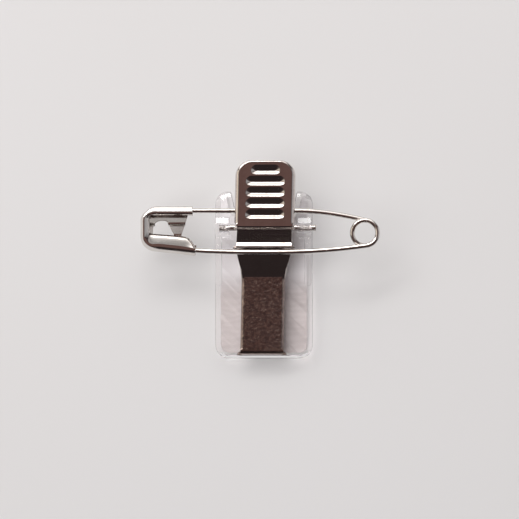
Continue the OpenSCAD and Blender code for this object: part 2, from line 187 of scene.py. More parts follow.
# Clear plate
# Clear acrylic moulding that carries everything: a flat plate with round corners and a notch under
# the thumb tab, two ears for the axle, and a rail that runs down from each ear along the plate's side.
TAPE_TOP = 0.7
PLATE_TOP = 2.3
HINGE_Y, AXLE_Z = 7.5, 4.6
AXLE_LEFT, AXLE_RIGHT, AXLE_R = -7.1, 8.25, 0.52
EAR_R, EAR_RISE = 1.7, 1.58
HOLE_R = 0.55
SUNK = 0.35  # how far the ears and rails reach down into the plate
RAIL_END_Y, RAIL_RISE, RAIL_SLOPE = -1.75, 0.8, 0.184
BEVEL_R, BEVEL_SLANTS = 5.0, (46, 56)  # the back rim's arc, and its slopes in degrees
WALL_LEAN = 0.13
PLATE_CORNERS = [(-7.8, -13.35), (7.8, -13.35), (7.8, 13.35), (5.25, 13.35),
                 (4.5, 9.95), (-4.5, 9.95), (-5.25, 13.35), (-7.8, 13.35)]
PLATE_RADII = [2.2, 2.2, 2.1, 0.25, 0.5, 0.5, 0.25, 2.1]
HORN_LOW_Y, NOTCH_HALF, NOTCH_SIDE = 11, 5.6, (0.215, 0.977)
RIM_PROFILE = [(0.0, 0.774), (0.08, 0.554), (0.22, 0.414), (0.6, 0.241), (1.05, 0.036), (1.2, 0.0)]
# NOTCH_SIDE is the direction of the notch's right side, and RIM_PROFILE holds insets and depths.


def unit(v):
    """Rows of vectors, each made one long."""
    return v / np.linalg.norm(v, axis=-1, keepdims=True)


def corner_arcs(before, corner, after, radii, inset, steps):
    """An arc in each corner of a line, touching both edges, after the edges have moved left by inset. Its
    middle lies on the corner's mitre, and an arm of its radius turns from the first edge to the second."""
    u, v = unit(corner - before), unit(after - corner)
    left_u = np.column_stack([-u[:, 1], u[:, 0]])
    left_v = np.column_stack([-v[:, 1], v[:, 0]])
    turn = np.arctan2(u[:, 0] * v[:, 1] - u[:, 1] * v[:, 0], (u * v).sum(1))
    side = np.sign(turn)
    mitre = (left_u + left_v) / (1 + (left_u * left_v).sum(1))[:, None]
    r = np.maximum(radii - inset * side, 0.002)
    middle = corner + (inset + side * r)[:, None] * mitre
    a = turn[:, None] * np.linspace(0, 1, steps + 1)
    left_x, left_y = left_u[:, None, 0], left_u[:, None, 1]
    arm = np.stack([left_x * np.cos(a) - left_y * np.sin(a), left_x * np.sin(a) + left_y * np.cos(a)], -1)
    return middle[:, None] - (side * r)[:, None, None] * arm


def closed_outline(corners, radii, inset=0.0, steps=8):
    """Polygon, anticlockwise, with round corners, drawn in by inset."""
    p = np.array(corners, float)
    return corner_arcs(np.roll(p, 1, 0), p, np.roll(p, -1, 0), np.array(radii), inset, steps).reshape(-1, 2)


def quads(rows, cols, round_cols=False):
    """Corner numbers of the faces of a grid of rows x cols points; round_cols joins each row's ends."""
    r, c = np.meshgrid(np.arange(rows - 1), np.arange(cols if round_cols else cols - 1), indexing="ij")
    d = (c + 1) % cols
    return np.stack([r * cols + c, r * cols + d, (r + 1) * cols + d, (r + 1) * cols + c], -1).reshape(-1, 4)


def ringed_solid(rings):
    """Points and faces of a closed solid: rings of equal size joined in turn, with a flat face at each
    end."""
    rings = np.array(rings)
    count, size = rings.shape[:2]
    faces = [tuple(f) for f in quads(count, size, round_cols=True)]
    faces += [tuple(range(size - 1, -1, -1)), tuple(range((count - 1) * size, count * size))]
    return rings.reshape(-1, 3), faces


def rounded_edge(radius, steps=5):
    """Insets and depths of a quarter round, from a wall (inset 0) to a flat face (depth 0)."""
    a = np.linspace(0, np.pi / 2, steps + 1)
    return radius * (1 - np.cos(a)), radius * (1 - np.sin(a))


def moulded(corners, radii, low, high, edge_low, edge_high, axes=(0, 1, 2)):
    """Closed solid: an outline carried from one level to another, with both its rims rounded. high may be a
    function of the outline's points, for a sloping top."""
    top = high if callable(high) else (lambda p: np.full(len(p), float(high)))
    rings = []
    for inset, depth in zip(*[x[::-1] for x in rounded_edge(edge_low)]):
        p = closed_outline(corners, radii, inset)
        rings.append(np.column_stack([p, np.full(len(p), low + depth)]))
    for inset, depth in zip(*rounded_edge(edge_high)):
        p = closed_outline(corners, radii, inset)
        rings.append(np.column_stack([p, top(p) - depth]))
    points, faces = ringed_solid(rings)
    return points[:, axes], faces


def joined(base, tools, cutters):
    """The base object's mesh with the tools added to it and the cutters taken away. It is shaded smooth
    but for edges of over 20 degrees, and its large faces stay flat."""
    for tool in tools + cutters:
        step = base.modifiers.new(tool.name, "BOOLEAN")
        step.operation = "DIFFERENCE" if tool in cutters else "UNION"
        step.solver = "EXACT"
        step.object = tool
    view = bpy.context.evaluated_depsgraph_get()
    mesh = bpy.data.meshes.new_from_object(base.evaluated_get(view))
    base.modifiers.clear()
    base.data = mesh
    for tool in tools + cutters:
        bpy.data.objects.remove(tool)
    mesh.shade_smooth()
    mesh.set_sharp_from_angle(angle=math.radians(20))
    even = base.modifiers.new("even_normals", "WEIGHTED_NORMAL")
    even.keep_sharp = True


clear_acrylic, tree, shader = finish_material("clear_acrylic")
shader.inputs["Roughness"].default_value = 0.03
shader.inputs["IOR"].default_value = 1.49
shader.inputs["Transmission Weight"].default_value = 1.0
where = node(tree, "TexCoord")
ripple = node(tree, "TexNoise", {"Vector": where.outputs["Object"], "Scale": 700.0, "Detail": 2.0})
flow = node(tree, "Bump", {"Height": ripple.outputs["Fac"], "Strength": 0.007, "Distance": 0.0001})
tree.links.new(flow.outputs["Normal"], shader.inputs["Normal"])
# Steep walls get a greyer colour than flat faces, which is painted shade, and so does the part of the light
# that passes them in shadows. A ray that was mirrored more than twice ends in a painted pale glow, which
# stands for light that scatters in the plastic.
ray = node(tree, "LightPath")
facing = node(tree, "SeparateXYZ", {0: node(tree, "NewGeometry").outputs["Normal"]})
level = node(tree, "Math", {0: facing.outputs["Z"]}, operation="ABSOLUTE")
flat = node(tree, "MapRange", {"Value": level.outputs[0], "From Min": 0.3, "From Max": 0.8})
shade = node(tree, "MixRGB", {"Fac": flat.outputs["Result"], "Color1": (0.8, 0.79, 0.79, 1),
                              "Color2": (0.97, 0.955, 0.955, 1)})
passing = node(tree, "BsdfTransparent", {"Color": shade.outputs["Color"]})
# Painted shade: the base colour is greyer on steep walls than on flat faces.
body = node(tree, "MixRGB", {"Fac": flat.outputs["Result"], "Color1": (0.5, 0.47, 0.48, 1),
                             "Color2": (0.985, 0.975, 0.975, 1)})
tree.links.new(body.outputs["Color"], shader.inputs["Base Color"])
trapped = node(tree, "Math", {0: ray.outputs["Glossy Depth"], 1: 2.5}, operation="GREATER_THAN")
# Painted glow: pale light given off where a ray has been mirrored inside the plastic several times.
painted_inner_glow = node(tree, "Emission", {"Color": (0.72, 0.71, 0.71, 1), "Strength": 1.0})
inner = node(tree, "MixShader", {0: trapped.outputs[0], 1: shader.outputs[0], 2: painted_inner_glow.outputs[0]})
mix = node(tree, "MixShader", {0: ray.outputs["Is Shadow Ray"], 1: inner.outputs[0], 2: passing.outputs[0]})
tree.links.new(mix.outputs[0], tree.nodes["Material Output"].inputs["Surface"])

# The back's rim is an arc of radius BEVEL_R, wide at the jaw's end, a little at the horns beside the notch
# and hardly at the sides. The wall above it leans inwards. The front's rim has the insets and depths of
# RIM_PROFILE: whole at the horns, which slope down to their round corners along the notch's sides, and
# hardly any elsewhere.
edge = closed_outline(PLATE_CORNERS, PLATE_RADII, steps=16)
nudge = 0.001
inward = (closed_outline(PLATE_CORNERS, PLATE_RADII, nudge, steps=16) - edge) / nudge
at_jaw = np.clip((inward[:, 1:] - 0.4) / 0.55, 0, 1)
at_horn = np.clip((-inward[:, 1:] - 0.25) / 0.4, 0, 1) * (edge[:, 1:] > HORN_LOW_Y)
slant = np.radians(np.linspace(*BEVEL_SLANTS, 9))
rings = [np.column_stack([edge + inset * (0.1 + 0.9 * at_jaw + 0.25 * at_horn) * inward,
                          np.full(len(edge), TAPE_TOP + depth)])
         for inset, depth in zip(BEVEL_R * (math.sin(slant[-1]) - np.sin(slant)),
                                 BEVEL_R * (math.cos(slant[0]) - np.cos(slant)))]
leaning = edge + WALL_LEAN * inward
inner_corner = (edge[:, 1] > HORN_LOW_Y) & (np.abs(edge[:, 0]) < NOTCH_HALF)
inward[inner_corner] = -np.array(NOTCH_SIDE)
inward[inner_corner, 0] *= np.sign(edge[inner_corner, 0])
sloped = np.where(inner_corner[:, None], 1.0, 0.06 + 0.94 * at_horn)
rings += [np.column_stack([leaning + inset * sloped * inward, PLATE_TOP - depth * sloped])
          for inset, depth in RIM_PROFILE]
points, faces = ringed_solid(rings)
clear_plate = mesh_object("clear_plate", points * MM, faces, clear_acrylic)


def rail_top(p):
    """Height of a rail's top over each point of its outline: a straight slope up to the ear."""
    return PLATE_TOP + RAIL_RISE + (p[:, 1] - RAIL_END_Y) * RAIL_SLOPE


# Each side's ear reaches across from x0 to x1, and its rail from rail_x0 to rail_x1.
added = []
foot = PLATE_TOP - SUNK
for side_name, x0, x1, rail_x0, rail_x1 in (("left", -7.79, -5.5, -7.79, -6.7),
                                           ("right", 5.25, 7.55, 6.45, 7.549)):
    ear_side = [(HINGE_Y - EAR_R, foot), (HINGE_Y + EAR_R, foot), (HINGE_Y + EAR_R, AXLE_Z + 1.06),
                (HINGE_Y + 0.65, AXLE_Z + EAR_RISE), (HINGE_Y - EAR_R, AXLE_Z + EAR_RISE)]
    points, faces = moulded(ear_side, [0.3, 0.3, 0.25, 0.5, 1.55], x0, x1, 0.16, 0.16, axes=(2, 0, 1))
    added.append(mesh_object("ear_" + side_name, points * MM, faces, clear_acrylic))
    half = (rail_x1 - rail_x0) / 2
    rail_plan = [(rail_x0, RAIL_END_Y), (rail_x1, RAIL_END_Y), (rail_x1, HINGE_Y), (rail_x0, HINGE_Y)]
    points, faces = moulded(rail_plan, [half - 0.01, half - 0.01, 0.2, 0.2], foot, rail_top, 0.05, 0.18)
    added.append(mesh_object("rail_" + side_name, points * MM, faces, clear_acrylic))
# The axle's hole is blind in the left ear and runs out through the right one.
around = np.linspace(0, 2 * np.pi, 40, endpoint=False)
hole = np.column_stack([HINGE_Y + HOLE_R * np.cos(around), AXLE_Z + HOLE_R * np.sin(around)])
rings = [np.column_stack([np.full(len(around), x), hole]) for x in (AXLE_LEFT - 0.03, AXLE_RIGHT + 1)]
points, faces = ringed_solid(rings)
axle_hole = mesh_object("axle_hole", points * MM, faces, clear_acrylic)
joined(clear_plate, added, [axle_hole])
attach(clear_plate, "base")
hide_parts("base_plate")


# Tape
# Double-sided foam tape on the plate's back, die-cut a little smaller than the plate, with the same
# notch. Its edge is slightly uneven and its face has the fine lines of its liner.
TAPE_INSET = 0.9
TAPE_RADII = [2.2, 2.2, 1.6, 0.95, 0.5, 0.5, 0.95, 1.6]
TAPE_PROFILE = [(0.06, 0.0), (0.0, 0.06), (0.03, 0.35), (0.0, TAPE_TOP - 0.07), (0.05, TAPE_TOP - 0.015)]

tape_foam, tree, shader = finish_material("tape_foam")
where = node(tree, "TexCoord")
lines = node(tree, "TexWave", {"Vector": where.outputs["Object"], "Scale": 330.0, "Distortion": 6.0,
                               "Detail": 2.0, "Detail Scale": 1.5},
             wave_type="BANDS", bands_direction="Y")
spots = node(tree, "TexNoise", {"Vector": where.outputs["Object"], "Scale": 500.0, "Detail": 4.0})
blend = node(tree, "Math", {0: lines.outputs["Fac"], 1: spots.outputs["Fac"]}, operation="MULTIPLY")
tones = node(tree, "ValToRGB", {"Fac": blend.outputs[0]})
tones.color_ramp.elements[0].color = (0.475, 0.44, 0.435, 1)
tones.color_ramp.elements[1].color = (0.545, 0.51, 0.505, 1)
# The half towards the thumb tab is painted paler than the jaw's half: painted light that offsets the shade
# there.
place = node(tree, "SeparateXYZ", {0: where.outputs["Object"]})
upward = node(tree, "MapRange", {"Value": place.outputs["Y"], "From Min": -3 * MM, "From Max": 0.5 * MM,
                                 "To Max": 0.9})
paled = node(tree, "MixRGB", {"Fac": upward.outputs["Result"], "Color1": tones.outputs["Color"],
                              "Color2": (0.74, 0.735, 0.745, 1)})
tree.links.new(paled.outputs["Color"], shader.inputs["Base Color"])
relief = node(tree, "Bump", {"Height": blend.outputs[0], "Strength": 0.3, "Distance": 0.00005})
tree.links.new(relief.outputs["Normal"], shader.inputs["Normal"])
shader.inputs["Roughness"].default_value = 0.6


def tape_ring(inset, z):
    """The tape's outline at one level, cut into even short edges. Its points move in and out by the sum of
    two sine waves along it, about 0.1 mm at the most."""
    p = closed_outline(PLATE_CORNERS, TAPE_RADII, TAPE_INSET + inset)
    reach = np.append(0, np.cumsum(np.linalg.norm(np.diff(np.vstack([p, p[:1]]), axis=0), axis=1)))
    s = np.linspace(0, reach[-1], 360, endpoint=False)
    x, y = (np.interp(s, reach, np.append(p[:, i], p[0, i])) for i in (0, 1))
    waver = 0.04 * np.sin(s * 1.7) + 0.03 * np.sin(s * 4.1 + 1)
    spread = 1 - waver / 9
    return np.column_stack([x * spread, y * spread, np.full(len(s), z)])


# The profile's pairs are an inset and a level. The top stays 0.015 mm below the plate, so that the two
# faces don't share a plane.
points, faces = ringed_solid([tape_ring(inset, z) for inset, z in TAPE_PROFILE])
tape = mesh_object("tape", points * MM, faces, tape_foam)
tape.data.set_sharp_from_angle(angle=math.radians(40))
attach(tape, "base")
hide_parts("adhesive_pad")


# Axle
# Nickel-plated steel pin pushed through both ears and the lever. It is knurled where it sits in the
# clear ears, and its right end stands a little proud.
END_ROUND = 0.12
KNURL_TEETH, KNURL_TWIST, KNURL_DEPTH = 10, 8, 0.2
KNURLS = [(-7.0, -6.85, -6.0, -5.85), (5.6, 5.75, 7.3, 7.45)]  # from start to full depth, and out again


def handled_nickel():
    """Node group for plated metal: faint smudges in colour and gloss, and a fine grain in the surface."""
    group = bpy.data.node_groups.new("handled_nickel", "ShaderNodeTree")
    for name, kind, value in (("Colour", "NodeSocketColor", (0.8, 0.77, 0.74, 1)),
                              ("Smudge Colour", "NodeSocketColor", (0.7, 0.66, 0.62, 1)),
                              ("Roughness", "NodeSocketFloat", 0.08),
                              ("Smudge Roughness", "NodeSocketFloat", 0.2),
                              ("Smudge Scale", "NodeSocketFloat", 250.0),
                              ("Grain Scale", "NodeSocketFloat", 4000.0),
                              ("Grain", "NodeSocketFloat", 0.1)):
        group.interface.new_socket(name, in_out="INPUT", socket_type=kind).default_value = value
    for name, kind in (("Colour", "NodeSocketColor"), ("Roughness", "NodeSocketFloat"),
                       ("Normal", "NodeSocketVector")):
        group.interface.new_socket(name, in_out="OUTPUT", socket_type=kind)
    asked = group.nodes.new("NodeGroupInput").outputs
    given = group.nodes.new("NodeGroupOutput").inputs
    where = node(group, "TexCoord")
    smudge = node(group, "TexNoise", {"Vector": where.outputs["Object"], "Scale": asked["Smudge Scale"],
                                      "Detail": 5.0, "Roughness": 0.6})
    mask = node(group, "MapRange", {"Value": smudge.outputs["Fac"], "From Min": 0.4, "From Max": 0.68})
    colour = node(group, "MixRGB", {"Fac": mask.outputs["Result"], "Color1": asked["Colour"],
                                    "Color2": asked["Smudge Colour"]})
    gloss = node(group, "MapRange", {"Value": mask.outputs["Result"], "To Min": asked["Roughness"],
                                     "To Max": asked["Smudge Roughness"]})
    grain = node(group, "TexNoise", {"Vector": where.outputs["Object"], "Scale": asked["Grain Scale"],
                                     "Detail": 3.0})
    relief = node(group, "Bump", {"Height": grain.outputs["Fac"], "Strength": asked["Grain"],
                                  "Distance": 0.00002})
    group.links.new(colour.outputs["Color"], given["Colour"])
    group.links.new(gloss.outputs["Result"], given["Roughness"])
    group.links.new(relief.outputs["Normal"], given["Normal"])
    return group


NICKEL = handled_nickel()


def nickel(name, **values):
    """A plated finish: the shared group with this piece's own values, named with _ for each space."""
    made, tree, shader = finish_material(name)
    group = tree.nodes.new("ShaderNodeGroup")
    group.node_tree = NICKEL
    for key, value in values.items():
        group.inputs[key.replace("_", " ")].default_value = value
    for out, into in (("Colour", "Base Color"), ("Roughness", "Roughness"), ("Normal", "Normal")):
        tree.links.new(group.outputs[out], shader.inputs[into])
    shader.inputs["Metallic"].default_value = 1.0
    return made, tree, shader, group


axle_plating = nickel("axle_plating", Colour=(0.66, 0.63, 0.62, 1))[0]


def welded(made, distance=0.001 * MM):
    """The object's mesh with touching points made one, and its faces turned outwards."""
    work = bmesh.new()
    work.from_mesh(made.data)
    bmesh.ops.remove_doubles(work, verts=work.verts, dist=distance)
    bmesh.ops.dissolve_degenerate(work, edges=work.edges, dist=distance)
    bmesh.ops.recalc_face_normals(work, faces=work.faces)
    work.to_mesh(made.data)
    work.free()
    made.data.shade_smooth()
    return made


# Along the axle the radius is even, with a quarter round at each end.
along = np.concatenate([[AXLE_LEFT], AXLE_LEFT + END_ROUND * (1 - np.cos(np.linspace(0, np.pi / 2, 6))),
                        np.linspace(AXLE_LEFT + 0.2, AXLE_RIGHT - 0.2, 150),
                        AXLE_RIGHT - END_ROUND * (1 - np.cos(np.linspace(np.pi / 2, 0, 6))), [AXLE_RIGHT]])
from_end = np.clip(np.minimum(along - AXLE_LEFT, AXLE_RIGHT - along) / END_ROUND, 0, 1)
body_r = AXLE_R - END_ROUND + END_ROUND * np.sqrt(np.clip(1 - (1 - from_end) ** 2, 0, 1))
body_r[[0, -1]] = 0
turn = np.linspace(0, 2 * np.pi, 144, endpoint=False)


def step_up(x, low, high):
    """0 below low, 1 above high, and between them t squared times 3 - 2 t, with t the share of the way."""
    t = np.clip((x - low) / (high - low), 0, 1)
    return t * t * (3 - 2 * t)


# The knurl's diamonds are the product of two waves, which wind round the axle to the left and the right.
knurled = sum(step_up(along, *knurl[:2]) - step_up(along, *knurl[2:]) for knurl in KNURLS)
twist = KNURL_TWIST * along[:, None]
tooth = 0.5 + 0.5 * np.cos(KNURL_TEETH * turn + twist) * np.cos(KNURL_TEETH * turn - twist)
r = body_r[:, None] * (1 - KNURL_DEPTH * knurled[:, None] * tooth)
grid = np.stack([np.broadcast_to(along[:, None], r.shape), HINGE_Y + r * np.cos(turn),
                 AXLE_Z + r * np.sin(turn)], -1)
axle = welded(mesh_object("axle", grid.reshape(-1, 3) * MM, quads(*r.shape, round_cols=True), axle_plating))
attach(axle, "base")
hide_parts("hinge_axle")


# Torsion spring
# Spring steel wire wound a little over four turns round the axle under the lever. One leg presses on the
# plate and the other pushes the thumb tab up, which keeps the jaw shut.
SPRING_X, SPRING_WIRE, SPRING_R, SPRING_LENGTH, SPRING_TURNS = 0.05, 0.2, 0.95, 2.2, 4
LEG_GAP = 0.03
TAB_TOP, SHEET = 7.5, 0.5


def tube(path, radii, up, sides=20):
    """Closed round wire: a circle of each point's radius carried along the path, with domed ends."""
    path, radii = np.asarray(path, float), np.broadcast_to(np.asarray(radii, float), len(path)).copy()
    run = unit(np.gradient(path, axis=0))
    a = np.linspace(np.pi / 2, 0, 5)[:-1]
    start = path[0] - radii[0] * np.sin(a)[:, None] * run[0]
    end = path[-1] + radii[-1] * np.sin(a[::-1])[:, None] * run[-1]
    path = np.vstack([start, path, end])
    run = np.vstack([np.repeat(run[:1], 4, 0), run, np.repeat(run[-1:], 4, 0)])
    radii = np.concatenate([radii[0] * np.cos(a), radii, radii[-1] * np.cos(a[::-1])])
    across = unit(np.cross(up, run))
    over = np.cross(run, across)
    turn = np.linspace(0, 2 * np.pi, sides, endpoint=False)[:, None]
    ring = across[:, None] * np.cos(turn) + over[:, None] * np.sin(turn)
    points = path[:, None] + radii[:, None, None] * ring
    return points.reshape(-1, 3), quads(len(path), sides, round_cols=True)


spring_steel = nickel("spring_steel", Colour=(0.56, 0.55, 0.55, 1), Smudge_Colour=(0.4, 0.39, 0.38, 1),
                      Roughness=0.2, Smudge_Roughness=0.35)[0]
# The lower and the upper leg leave the turns at these angles, and each runs on straight.
low_angle, high_angle = math.radians(240), math.radians(128)
share = np.linspace(0, 1, 200)
angle = low_angle - (low_angle - high_angle + SPRING_TURNS * 2 * np.pi) * share
turns = np.column_stack([SPRING_X - SPRING_LENGTH / 2 + SPRING_LENGTH * share,
                         HINGE_Y + SPRING_R * np.cos(angle), AXLE_Z + SPRING_R * np.sin(angle)])
low_leg = (PLATE_TOP + SPRING_WIRE + LEG_GAP - turns[0, 2]) / math.cos(low_angle)
high_leg = (TAB_TOP - SHEET - SPRING_WIRE - LEG_GAP - turns[-1, 2]) / -math.cos(high_angle)
low_end = turns[0] + low_leg * np.array((0, -math.sin(low_angle), math.cos(low_angle)))
high_end = turns[-1] + high_leg * np.array((0, math.sin(high_angle), -math.cos(high_angle)))
legs = [low_end + (turns[0] - low_end) * np.linspace(0, 0.95, 12)[:, None], turns,
        turns[-1] + (high_end - turns[-1]) * np.linspace(0.05, 1, 12)[:, None]]
points, faces = tube(np.vstack(legs), SPRING_WIRE, (1, 0, 0), sides=14)
spring = welded(mesh_object("spring", points * MM, faces, spring_steel))
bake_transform(spring)
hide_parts("torsion_spring")


# Clip lever
# One strip of nickel-plated steel, stamped and bent: a thumb tab with a turned-down rim and five
# finger grooves, a steep neck, a ridge, and a jaw arm with turned-down sides and tip. It stands
# slightly askew on its axle: LEAN is its step to the side for each millimetre along.
LEVER_X, LEAN = 0.05, 0.02
TAB_END, TAB_HALF, TAB_CORNER, TAB_RIM = 18.1, 4.75, 2.5, 0.95
NECK_Y, ARM_TOP, TIP_Y = 7.9, 3.45, -12.7
GROOVES = [(9.45 + 1.75 * i, 6.2 if i < 4 else 4.6) for i in range(5)]  # each one's y and its length
GROOVE_LOW, GROOVE_HIGH, GROOVE_END, GROOVE_DEPTH = 0.5, 1.02, 0.8, 0.36


def open_line(points, radii, steps=8):
    """Line through points with round corners between its two ends."""
    p = np.array(points, float)
    arcs = corner_arcs(p[:-2], p[1:-1], p[2:], np.array(radii), 0.0, steps)
    return np.vstack([p[:1], arcs.reshape(-1, 2), p[-1:]])


# The sheet's top from the tab's end to the jaw's tip, as places along and up, and the radius of each bend.
lever_line = open_line(
    [(TAB_END, TAB_TOP), (7.35, TAB_TOP), (7.33, 6.62), (6.3, 5.99), (5.6, 5.65), (5.18, 5.5), (4.42, 5.86),
     (4.05, 5.2), (-0.4, ARM_TOP), (TIP_Y, ARM_TOP), (TIP_Y, PLATE_TOP + 0.08)],
    [0.52, 0.2, 1.5, 1.5, 0.15, 0.3, 0.2, 1.2, 0.7], steps=12)
lever_reach = np.append(0, np.cumsum(np.linalg.norm(np.diff(lever_line, axis=0), axis=1)))


def on_lever(x, s, drop):
    """Point of the lever: s along its top line, x across, and drop below the sheet's top face."""
    y, z = (np.interp(s, lever_reach, lever_line[:, i]) for i in (0, 1))
    step = 0.04
    run = unit(np.stack([np.interp(s + step, lever_reach, lever_line[:, i])
                         - np.interp(s - step, lever_reach, lever_line[:, i]) for i in (0, 1)], -1))
    lean = LEVER_X + LEAN * (y - HINGE_Y)
    return np.stack([lean + x, y + drop * run[..., 1], z - drop * np.abs(run[..., 0])], -1)


def groove_drop(x, s):
    """Depth of the finger grooves: each falls evenly from its rim to a short line across the tab, steeply
    on the neck's side and gently on the other."""
    depth = np.zeros_like(x)
    for y, length in GROOVES:
        out = np.maximum(np.abs(x) - (length / 2 - GROOVE_END), 0) / GROOVE_END
        up = TAB_END - s - y
        off = np.hypot(out, up / np.where(up < 0, GROOVE_LOW, GROOVE_HIGH))
        depth += GROOVE_DEPTH * (1 - off.clip(0, 1))
    return depth


# Rows: a fan round the tab's end, then straight rows down the strip. Each row starts on the middle line and
# ends on the outline. From there the sheet turns down by a quarter round of radius bend, and a straight
# wall below it reaches down to rim. The fan's rows start on the middle line from FAN_START onwards.
FAN_START = 1.15
fan = np.linspace(0, 1, 56)
end_half = TAB_HALF - TAB_CORNER
arc_length = TAB_CORNER * np.pi / 2
way = fan * (end_half + arc_length)
corner_angle = np.clip((way - end_half) / TAB_CORNER, 0, np.pi / 2)
fan_x = np.where(way < end_half, way, end_half + TAB_CORNER * np.sin(corner_angle))
fan_s = TAB_CORNER * (1 - np.cos(corner_angle))
fan_out = np.column_stack([np.sin(corner_angle), -np.cos(corner_angle)])
fan_middle = FAN_START + (TAB_CORNER - FAN_START) * fan

# The rows lie closest on the neck and ridge, and widest apart on the straight arm.
neck_s, tip_s = TAB_END - NECK_Y, lever_reach[-1]
s_rows = np.concatenate([np.arange(TAB_CORNER + 0.08, neck_s - 0.4, 0.08),
                         np.arange(neck_s - 0.4, neck_s + 6.6, 0.06),
                         np.arange(neck_s + 6.6, tip_s - 2.4, 0.3), np.linspace(tip_s - 2.4, tip_s, 30)])
y_rows = np.interp(s_rows, lever_reach, lever_line[:, 0])
tip_left = tip_s - s_rows
# Half the width at places along the strip, and a little less at the very tip. The sides are turned down at
# the tab and along the jaw arm, and left plain at the neck, the ridge and the tip.
half_rows = np.interp(y_rows, [TIP_Y, -0.8, 1, 3, 4.2, 7.6, 8.3, TAB_END],
                      [3.45, 3.45, 3.68, 4.2, 4.43, 4.32, TAB_HALF, TAB_HALF])
half_rows = half_rows - 0.25 * (1 - step_up(tip_left, 0, 0.3))
tabbed = step_up(y_rows, NECK_Y, NECK_Y + 0.45)
armed = (1 - step_up(y_rows, 0.4, 2.2)) * step_up(tip_left, 1.5, 1.9)
bend_rows = 0.1 + 0.62 * tabbed + 0.42 * armed
rim_rows = bend_rows + 0.23 * tabbed + 0.42 * armed

# Each row has a flat stretch (q), a quarter round (a) and a straight wall (w). The left half mirrors it.
edge_x = np.concatenate([fan_x, half_rows])
edge_s = np.concatenate([fan_s, s_rows])
edge_out = np.vstack([fan_out, np.column_stack([np.ones_like(s_rows), np.zeros_like(s_rows)])])
middle_s = np.concatenate([fan_middle, s_rows])
bend = np.concatenate([np.interp(fan, [0, 0.4, 0.8, 1], [0.22, 0.27, 0.55, 0.72]), bend_rows])[:, None]
rim = np.concatenate([np.full(len(fan), TAB_RIM), rim_rows])[:, None]
flat_to_x = edge_x[:, None] - bend * edge_out[:, :1]
flat_to_s = edge_s[:, None] - bend * edge_out[:, 1:]
q = np.linspace(0, 1, 52)
a = np.linspace(0, np.pi / 2, 10)[1:]
w = np.linspace(0, 1, 5)[1:]
x = np.hstack([flat_to_x * q, flat_to_x + bend * np.sin(a) * edge_out[:, :1],
               flat_to_x + bend * edge_out[:, :1] + 0 * w])
s = np.hstack([middle_s[:, None] + (flat_to_s - middle_s[:, None]) * q,
               flat_to_s + bend * np.sin(a) * edge_out[:, 1:], flat_to_s + bend * edge_out[:, 1:] + 0 * w])
drop = np.hstack([groove_drop(x[:, :len(q)], s[:, :len(q)]), bend * (1 - np.cos(a)), bend + (rim - bend) * w])
right = on_lever(x, s, drop)
left = on_lever(-x, s, drop)
grid = np.concatenate([left[:, :0:-1], right], axis=1)

# The jaw arm is blasted and has a dark mottled painted reflection; the rest of the strip is left bright.
lever_nickel, tree, shader, plating = nickel("lever_nickel", Colour=(0.72, 0.67, 0.64, 1),
                                             Smudge_Colour=(0.62, 0.56, 0.53, 1), Roughness=0.1,
                                             Smudge_Roughness=0.16, Grain=0.15)
where = node(tree, "TexCoord")
place = node(tree, "SeparateXYZ", {0: where.outputs["Object"]})
on_arm = node(tree, "MapRange", {"Value": place.outputs["Y"], "From Min": -0.3 * MM, "From Max": -0.6 * MM})
blasted = node(tree, "TexNoise", {"Vector": where.outputs["Object"], "Scale": 2000.0, "Detail": 3.0,
                                  "Roughness": 0.65})
strength = node(tree, "MapRange", {"Value": on_arm.outputs["Result"], "To Min": 0.05, "To Max": 1.0})
pits = node(tree, "Bump", {"Height": blasted.outputs["Fac"], "Strength": strength.outputs["Result"],
                           "Distance": 0.0001, "Normal": plating.outputs["Normal"]})
tree.links.new(pits.outputs["Normal"], shader.inputs["Normal"])
# Painted reflection: dark brown blotches for the dark room seen in the satin arm.
reflection_noise = node(tree, "TexNoise", {"Vector": where.outputs["Object"], "Scale": 2200.0, "Detail": 4.0,
                                "Roughness": 0.7})
patches = node(tree, "MapRange", {"Value": reflection_noise.outputs["Fac"], "From Min": 0.34, "From Max": 0.68})
painted_reflection = node(tree, "MixRGB", {"Fac": patches.outputs["Result"], "Color1": (0.22, 0.165, 0.16, 1),
                                "Color2": (0.5, 0.41, 0.36, 1)})
tinted = node(tree, "MixRGB", {"Fac": on_arm.outputs["Result"], "Color1": plating.outputs["Colour"],
                               "Color2": painted_reflection.outputs["Color"]})
tree.links.new(tinted.outputs["Color"], shader.inputs["Base Color"])
satin = node(tree, "MapRange", {"Value": on_arm.outputs["Result"], "To Min": 0.0, "To Max": 0.1})
gloss = node(tree, "Math", {0: plating.outputs["Roughness"], 1: satin.outputs["Result"]}, operation="ADD")
tree.links.new(gloss.outputs[0], shader.inputs["Roughness"])
lever = welded(mesh_object("lever", grid.reshape(-1, 3) * MM, quads(*grid.shape[:2]), lever_nickel))
wall = lever.modifiers.new("sheet", "SOLIDIFY")
wall.thickness = SHEET * MM
wall.offset = -1
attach(lever, "lever")
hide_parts("clip_lever")

